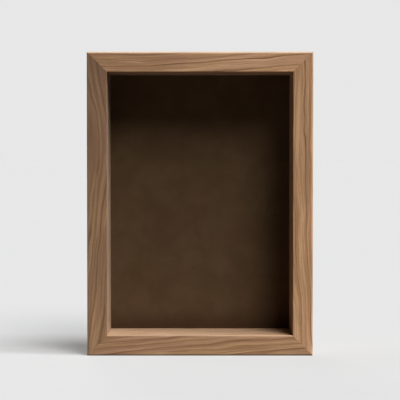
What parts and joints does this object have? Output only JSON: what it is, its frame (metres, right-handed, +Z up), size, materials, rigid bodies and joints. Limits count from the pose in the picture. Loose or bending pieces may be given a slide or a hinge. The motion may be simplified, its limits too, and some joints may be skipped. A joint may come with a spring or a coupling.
{
  "type": "shadow box",
  "caption": "Open-fronted wooden shadow box with mitred rails, a covered lining held in from behind by turn buttons, and strap hangers for the wall.",
  "frame": {"origin": "centre of the overall bounding box in plan, at the level of the base the box stands on", "axes": "+X to the right seen from the front, +Y from the open front to the wall side, +Z up"},
  "size_m": [0.18, 0.06, 0.242],
  "materials": {
    "frame_wood": "oiled walnut, satin, with long growth lines",
    "spline_wood": "plain unfinished beech",
    "lining": "mount board faced with dark brown suede paper, matte",
    "back_board": "bare brown hardboard, matte",
    "brass_hardware": "brushed",
    "zinc_hardware": "bright zinc plate",
    "bumper_rubber": "matte"
  },
  "bodies": {
    "box": {"top_rail": "frame_wood", "bottom_rail": "frame_wood", "left_rail": "frame_wood", "right_rail": "frame_wood", "corner_spline_top_left": "spline_wood", "corner_spline_top_right": "spline_wood", "corner_spline_bottom_left": "spline_wood", "corner_spline_bottom_right": "spline_wood", "lining_panel": "lining", "back_board": "back_board", "button_screw_top": "brass_hardware", "button_screw_bottom": "brass_hardware", "button_screw_left_lower": "brass_hardware", "button_screw_left_upper": "brass_hardware", "button_screw_right_lower": "brass_hardware", "button_screw_right_upper": "brass_hardware", "hanger_strap_left": "zinc_hardware", "hanger_strap_right": "zinc_hardware", "hanger_screw_left": "zinc_hardware", "hanger_screw_right": "zinc_hardware", "bumper_bottom_left": "bumper_rubber", "bumper_bottom_right": "bumper_rubber", "bumper_top_left": "bumper_rubber", "bumper_top_right": "bumper_rubber"},
    "button_top": {"turn_button_top": "brass_hardware"},
    "button_bottom": {"turn_button_bottom": "brass_hardware"},
    "button_left_lower": {"turn_button_left_lower": "brass_hardware"},
    "button_left_upper": {"turn_button_left_upper": "brass_hardware"},
    "button_right_lower": {"turn_button_right_lower": "brass_hardware"},
    "button_right_upper": {"turn_button_right_upper": "brass_hardware"},
    "ring_left": {"hanger_ring_left": "zinc_hardware"},
    "ring_right": {"hanger_ring_right": "zinc_hardware"}
  },
  "joints": [
    {"name": "button_top_turn", "type": "hinge", "parent": "box", "child": "button_top", "pos_m": [0, 0.0266, 0.237], "axis": [0, 1, 0], "continuous": true},
    {"name": "button_bottom_turn", "type": "hinge", "parent": "box", "child": "button_bottom", "pos_m": [0, 0.0266, 0.005], "axis": [0, 1, 0], "continuous": true},
    {"name": "button_left_lower_turn", "type": "hinge", "parent": "box", "child": "button_left_lower", "pos_m": [-0.085, 0.0266, 0.06], "axis": [0, 1, 0], "continuous": true},
    {"name": "button_left_upper_turn", "type": "hinge", "parent": "box", "child": "button_left_upper", "pos_m": [-0.085, 0.0266, 0.152], "axis": [0, 1, 0], "continuous": true},
    {"name": "button_right_lower_turn", "type": "hinge", "parent": "box", "child": "button_right_lower", "pos_m": [0.085, 0.0266, 0.06], "axis": [0, 1, 0], "continuous": true},
    {"name": "button_right_upper_turn", "type": "hinge", "parent": "box", "child": "button_right_upper", "pos_m": [0.085, 0.0266, 0.152], "axis": [0, 1, 0], "continuous": true},
    {"name": "ring_left_swing", "type": "hinge", "parent": "box", "child": "ring_left", "pos_m": [-0.084, 0.02775, 0.196], "axis": [1, 0, 0], "range_deg": [-3, 183]},
    {"name": "ring_right_swing", "type": "hinge", "parent": "box", "child": "ring_right", "pos_m": [0.084, 0.02775, 0.196], "axis": [1, 0, 0], "range_deg": [-3, 183]}
  ]
}
